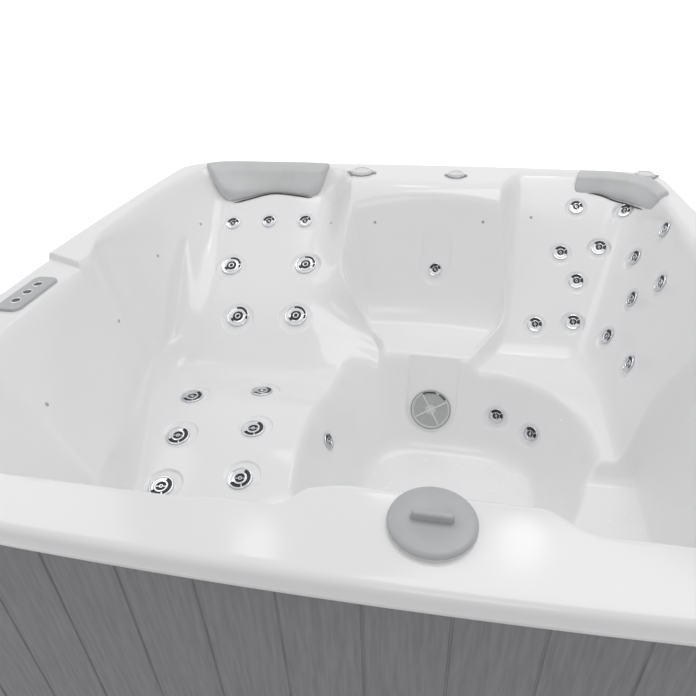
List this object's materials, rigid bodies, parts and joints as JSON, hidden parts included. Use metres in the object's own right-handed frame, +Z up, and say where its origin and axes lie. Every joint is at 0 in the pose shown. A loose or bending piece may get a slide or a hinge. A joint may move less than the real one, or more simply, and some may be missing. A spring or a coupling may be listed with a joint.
{
  "type": "hot tub",
  "caption": "Square hot tub with a lounge, moulded seats, turning jets, head pillows, deck knobs, a filter, a pump, a heater and a cabinet round a moulded shell.",
  "frame": {"origin": "centre of the base's underside, on the floor", "axes": "+Z up, -Y towards the front access panel, +X to the right seen from the front; the lounge lies along the left side with its head end at the back"},
  "size_m": [2.1, 2.0992, 0.915],
  "materials": {
    "acrylic": "glossy moulded acrylic",
    "jet_steel": "polished",
    "foam": "satin moulded foam skin",
    "grey_plastic": "satin",
    "dark_plastic": "satin",
    "white_plastic": "satin",
    "cabinet": "matt",
    "paper": "pleated filter cloth",
    "frame_metal": "mill finish",
    "motor_metal": "satin",
    "heater_steel": "brushed"
  },
  "bodies": {
    "tub": {"shell": "acrylic", "frame": "frame_metal", "base_pan": "dark_plastic", "right_panel": "cabinet", "back_panel": "cabinet", "left_panel": "cabinet", "suction_cover": "grey_plastic", "control_panel": "grey_plastic", "filter_canister": "white_plastic", "pump_housing": "dark_plastic", "pump_motor": "motor_metal", "heater": "heater_steel", "control_box": "grey_plastic", "jet_manifold": "white_plastic", "suction_pipe": "white_plastic", "discharge_pipe": "white_plastic"},
    "front_access_panel": {"front_access_panel": "cabinet"},
    "pillow_lounge": {"pillow_lounge": "foam"},
    "pillow_corner": {"pillow_corner": "foam"},
    "diverter_knob": {"diverter_knob": "white_plastic"},
    "air_knob_centre": {"air_knob_centre": "white_plastic"},
    "air_knob_corner": {"air_knob_corner": "white_plastic"},
    "heat_button": {"heat_button": "dark_plastic"},
    "light_button": {"light_button": "dark_plastic"},
    "pump_button": {"pump_button": "dark_plastic"},
    "filter_cartridge": {"filter_cartridge": "paper"},
    "filter_lid": {"filter_lid": "grey_plastic"},
    "pump_rotor": {"pump_rotor": "heater_steel"},
    "lounge_back_jet_1": {"lounge_back_jet_1": "jet_steel"},
    "lounge_back_jet_2": {"lounge_back_jet_2": "jet_steel"},
    "lounge_back_jet_3": {"lounge_back_jet_3": "jet_steel"},
    "lounge_back_jet_4": {"lounge_back_jet_4": "jet_steel"},
    "lounge_back_jet_5": {"lounge_back_jet_5": "jet_steel"},
    "lounge_back_jet_6": {"lounge_back_jet_6": "jet_steel"},
    "lounge_back_jet_7": {"lounge_back_jet_7": "jet_steel"},
    "lounge_leg_jet_1": {"lounge_leg_jet_1": "jet_steel"},
    "lounge_leg_jet_2": {"lounge_leg_jet_2": "jet_steel"},
    "lounge_leg_jet_3": {"lounge_leg_jet_3": "jet_steel"},
    "lounge_leg_jet_4": {"lounge_leg_jet_4": "jet_steel"},
    "lounge_leg_jet_5": {"lounge_leg_jet_5": "jet_steel"},
    "lounge_leg_jet_6": {"lounge_leg_jet_6": "jet_steel"},
    "centre_jet": {"centre_jet": "jet_steel"},
    "corner_neck_jet_1": {"corner_neck_jet_1": "jet_steel"},
    "corner_neck_jet_2": {"corner_neck_jet_2": "jet_steel"},
    "corner_neck_jet_3": {"corner_neck_jet_3": "jet_steel"},
    "corner_back_jet_1": {"corner_back_jet_1": "jet_steel"},
    "corner_back_jet_2": {"corner_back_jet_2": "jet_steel"},
    "corner_back_jet_3": {"corner_back_jet_3": "jet_steel"},
    "corner_back_jet_4": {"corner_back_jet_4": "jet_steel"},
    "corner_back_jet_5": {"corner_back_jet_5": "jet_steel"},
    "corner_back_jet_6": {"corner_back_jet_6": "jet_steel"},
    "corner_back_jet_7": {"corner_back_jet_7": "jet_steel"},
    "corner_back_jet_8": {"corner_back_jet_8": "jet_steel"},
    "corner_back_jet_9": {"corner_back_jet_9": "jet_steel"},
    "corner_back_jet_10": {"corner_back_jet_10": "jet_steel"},
    "footwell_jet_1": {"footwell_jet_1": "jet_steel"},
    "footwell_jet_2": {"footwell_jet_2": "jet_steel"},
    "footwell_jet_3": {"footwell_jet_3": "jet_steel"},
    "footwell_jet_4": {"footwell_jet_4": "jet_steel"}
  },
  "joints": [
    {"name": "diverter_knob_turn", "type": "hinge", "parent": "tub", "child": "diverter_knob", "pos_m": [-0.18165, 0.89985, 0.9], "axis": [0, 0, 1], "range_deg": [0, 180]},
    {"name": "air_knob_centre_turn", "type": "hinge", "parent": "tub", "child": "air_knob_centre", "pos_m": [0.21, 0.8904, 0.9], "axis": [0, 0, 1], "range_deg": [0, 90]},
    {"name": "air_knob_corner_turn", "type": "hinge", "parent": "tub", "child": "air_knob_corner", "pos_m": [0.94185, 0.94185, 0.9], "axis": [0, 0, 1], "range_deg": [0, 90]},
    {"name": "heat_button_press", "type": "slide", "parent": "tub", "child": "heat_button", "axis": [0, 0, -1], "range_m": [0, 0.0015], "stiffness_N_per_m": 150},
    {"name": "light_button_press", "type": "slide", "parent": "tub", "child": "light_button", "axis": [0, 0, -1], "range_m": [0, 0.0015], "stiffness_N_per_m": 150},
    {"name": "pump_button_press", "type": "slide", "parent": "tub", "child": "pump_button", "axis": [0, 0, -1], "range_m": [0, 0.0015], "stiffness_N_per_m": 150},
    {"name": "filter_lid_lift", "type": "slide", "parent": "filter_cartridge", "child": "filter_lid", "axis": [0, 0, 1], "range_m": [0, 0.1]},
    {"name": "filter_cartridge_lift", "type": "slide", "parent": "tub", "child": "filter_cartridge", "axis": [0, 0, 1], "range_m": [0, 0.34]},
    {"name": "pump_spin", "type": "hinge", "parent": "tub", "child": "pump_rotor", "pos_m": [0.38955, -0.7896, 0.13], "axis": [1, 0, 0], "continuous": true},
    {"name": "pillow_lounge_pull", "type": "slide", "parent": "tub", "child": "pillow_lounge", "axis": [0, -0.5524, 0.8336], "range_m": [0, 0.08]},
    {"name": "pillow_corner_pull", "type": "slide", "parent": "tub", "child": "pillow_corner", "axis": [-0.5495, -0.5495, 0.6294], "range_m": [0, 0.08]},
    {"name": "front_access_panel_pull", "type": "slide", "parent": "tub", "child": "front_access_panel", "axis": [0, -1, 0], "range_m": [0, 0.15]},
    {"name": "lounge_back_jet_1_turn", "type": "hinge", "parent": "tub", "child": "lounge_back_jet_1", "pos_m": [-0.72765, 0.75433, 0.71107], "axis": [0, -0.4932, 0.8699], "range_deg": [0, 90]},
    {"name": "lounge_back_jet_2_turn", "type": "hinge", "parent": "tub", "child": "lounge_back_jet_2", "pos_m": [-0.5691, 0.77009, 0.72008], "axis": [0, -0.4983, 0.867], "range_deg": [0, 90]},
    {"name": "lounge_back_jet_3_turn", "type": "hinge", "parent": "tub", "child": "lounge_back_jet_3", "pos_m": [-0.4095, 0.77745, 0.72432], "axis": [0, -0.5003, 0.8658], "range_deg": [0, 90]},
    {"name": "lounge_back_jet_4_turn", "type": "hinge", "parent": "tub", "child": "lounge_back_jet_4", "pos_m": [-0.67725, 0.55598, 0.60426], "axis": [0, -0.4815, 0.8765], "range_deg": [0, 90]},
    {"name": "lounge_back_jet_5_turn", "type": "hinge", "parent": "tub", "child": "lounge_back_jet_5", "pos_m": [-0.36422, 0.57799, 0.61639], "axis": [-0.0387, -0.4762, 0.8785], "range_deg": [0, 90]},
    {"name": "lounge_back_jet_6_turn", "type": "hinge", "parent": "tub", "child": "lounge_back_jet_6", "pos_m": [-0.59115, 0.34918, 0.48596], "axis": [0, -0.5684, 0.8227], "range_deg": [0, 90]},
    {"name": "lounge_back_jet_7_turn", "type": "hinge", "parent": "tub", "child": "lounge_back_jet_7", "pos_m": [-0.35806, 0.36613, 0.49679], "axis": [0.0021, -0.5469, 0.8372], "range_deg": [0, 90]},
    {"name": "lounge_leg_jet_1_turn", "type": "hinge", "parent": "tub", "child": "lounge_leg_jet_1", "pos_m": [-0.63, -0.05285, 0.38764], "axis": [0, 0.0931, 0.9957], "range_deg": [0, 90]},
    {"name": "lounge_leg_jet_2_turn", "type": "hinge", "parent": "tub", "child": "lounge_leg_jet_2", "pos_m": [-0.4032, 0.03132, 0.37356], "axis": [0, 0.2421, 0.9703], "range_deg": [0, 90]},
    {"name": "lounge_leg_jet_3_turn", "type": "hinge", "parent": "tub", "child": "lounge_leg_jet_3", "pos_m": [-0.5922, -0.25351, 0.38566], "axis": [0, -0.1395, 0.9902], "range_deg": [0, 90]},
    {"name": "lounge_leg_jet_4_turn", "type": "hinge", "parent": "tub", "child": "lounge_leg_jet_4", "pos_m": [-0.3591, -0.1899, 0.3912], "axis": [0, -0.0351, 0.9994], "range_deg": [0, 90]},
    {"name": "lounge_leg_jet_5_turn", "type": "hinge", "parent": "tub", "child": "lounge_leg_jet_5", "pos_m": [-0.567, -0.44271, 0.35256], "axis": [0, -0.1314, 0.9913], "range_deg": [0, 90]},
    {"name": "lounge_leg_jet_6_turn", "type": "hinge", "parent": "tub", "child": "lounge_leg_jet_6", "pos_m": [-0.33915, -0.38268, 0.36258], "axis": [0, -0.1893, 0.9819], "range_deg": [0, 90]},
    {"name": "centre_jet_turn", "type": "hinge", "parent": "tub", "child": "centre_jet", "pos_m": [0.15754, 0.63592, 0.59843], "axis": [-0.0142, -0.923, 0.3846], "range_deg": [0, 90]},
    {"name": "corner_neck_jet_1_turn", "type": "hinge", "parent": "tub", "child": "corner_neck_jet_1", "pos_m": [0.6909, 0.85477, 0.79788], "axis": [0, -0.7242, 0.6896], "range_deg": [0, 90]},
    {"name": "corner_neck_jet_2_turn", "type": "hinge", "parent": "tub", "child": "corner_neck_jet_2", "pos_m": [0.86802, 0.82462, 0.79985], "axis": [-0.5889, -0.4741, 0.6545], "range_deg": [0, 90]},
    {"name": "corner_neck_jet_3_turn", "type": "hinge", "parent": "tub", "child": "corner_neck_jet_3", "pos_m": [0.93856, 0.53445, 0.83997], "axis": [-0.9433, 0, 0.332], "range_deg": [0, 90]},
    {"name": "corner_back_jet_1_turn", "type": "hinge", "parent": "tub", "child": "corner_back_jet_1", "pos_m": [0.63945, 0.72142, 0.65785], "axis": [0, -0.7242, 0.6896], "range_deg": [0, 90]},
    {"name": "corner_back_jet_2_turn", "type": "hinge", "parent": "tub", "child": "corner_back_jet_2", "pos_m": [0.78278, 0.73915, 0.67899], "axis": [-0.1752, -0.6821, 0.71], "range_deg": [0, 90]},
    {"name": "corner_back_jet_3_turn", "type": "hinge", "parent": "tub", "child": "corner_back_jet_3", "pos_m": [0.88153, 0.59889, 0.70372], "axis": [-0.892, -0.1313, 0.4326], "range_deg": [0, 90]},
    {"name": "corner_back_jet_4_turn", "type": "hinge", "parent": "tub", "child": "corner_back_jet_4", "pos_m": [0.7035, 0.64372, 0.57625], "axis": [0, -0.7242, 0.6896], "range_deg": [0, 90]},
    {"name": "corner_back_jet_5_turn", "type": "hinge", "parent": "tub", "child": "corner_back_jet_5", "pos_m": [0.90269, 0.32655, 0.73654], "axis": [-0.9454, 0, 0.326], "range_deg": [0, 90]},
    {"name": "corner_back_jet_6_turn", "type": "hinge", "parent": "tub", "child": "corner_back_jet_6", "pos_m": [0.85959, 0.43485, 0.61734], "axis": [-0.9284, -0.0503, 0.3681], "range_deg": [0, 90]},
    {"name": "corner_back_jet_7_turn", "type": "hinge", "parent": "tub", "child": "corner_back_jet_7", "pos_m": [0.55755, 0.51667, 0.44283], "axis": [0, -0.7242, 0.6896], "range_deg": [0, 90]},
    {"name": "corner_back_jet_8_turn", "type": "hinge", "parent": "tub", "child": "corner_back_jet_8", "pos_m": [0.69749, 0.52921, 0.45677], "axis": [-0.0954, -0.7042, 0.7035], "range_deg": [0, 90]},
    {"name": "corner_back_jet_9_turn", "type": "hinge", "parent": "tub", "child": "corner_back_jet_9", "pos_m": [0.79958, 0.40474, 0.47668], "axis": [-0.8751, -0.162, 0.456], "range_deg": [0, 90]},
    {"name": "corner_back_jet_10_turn", "type": "hinge", "parent": "tub", "child": "corner_back_jet_10", "pos_m": [0.82499, 0.1785, 0.51125], "axis": [-0.9454, 0, 0.326], "range_deg": [0, 90]},
    {"name": "footwell_jet_1_turn", "type": "hinge", "parent": "tub", "child": "footwell_jet_1", "pos_m": [-0.13926, -0.08613, 0.27599], "axis": [0.9025, 0.0084, 0.4306], "range_deg": [0, 90]},
    {"name": "footwell_jet_2_turn", "type": "hinge", "parent": "tub", "child": "footwell_jet_2", "pos_m": [-0.08145, -0.2877, 0.15528], "axis": [0.9005, 0, 0.4348], "range_deg": [0, 90]},
    {"name": "footwell_jet_3_turn", "type": "hinge", "parent": "tub", "child": "footwell_jet_3", "pos_m": [0.42905, 0.21263, 0.21689], "axis": [-0.2154, -0.8768, 0.43], "range_deg": [0, 90]},
    {"name": "footwell_jet_4_turn", "type": "hinge", "parent": "tub", "child": "footwell_jet_4", "pos_m": [0.54991, 0.14272, 0.20517], "axis": [-0.6022, -0.6727, 0.43], "range_deg": [0, 90]}
  ]
}
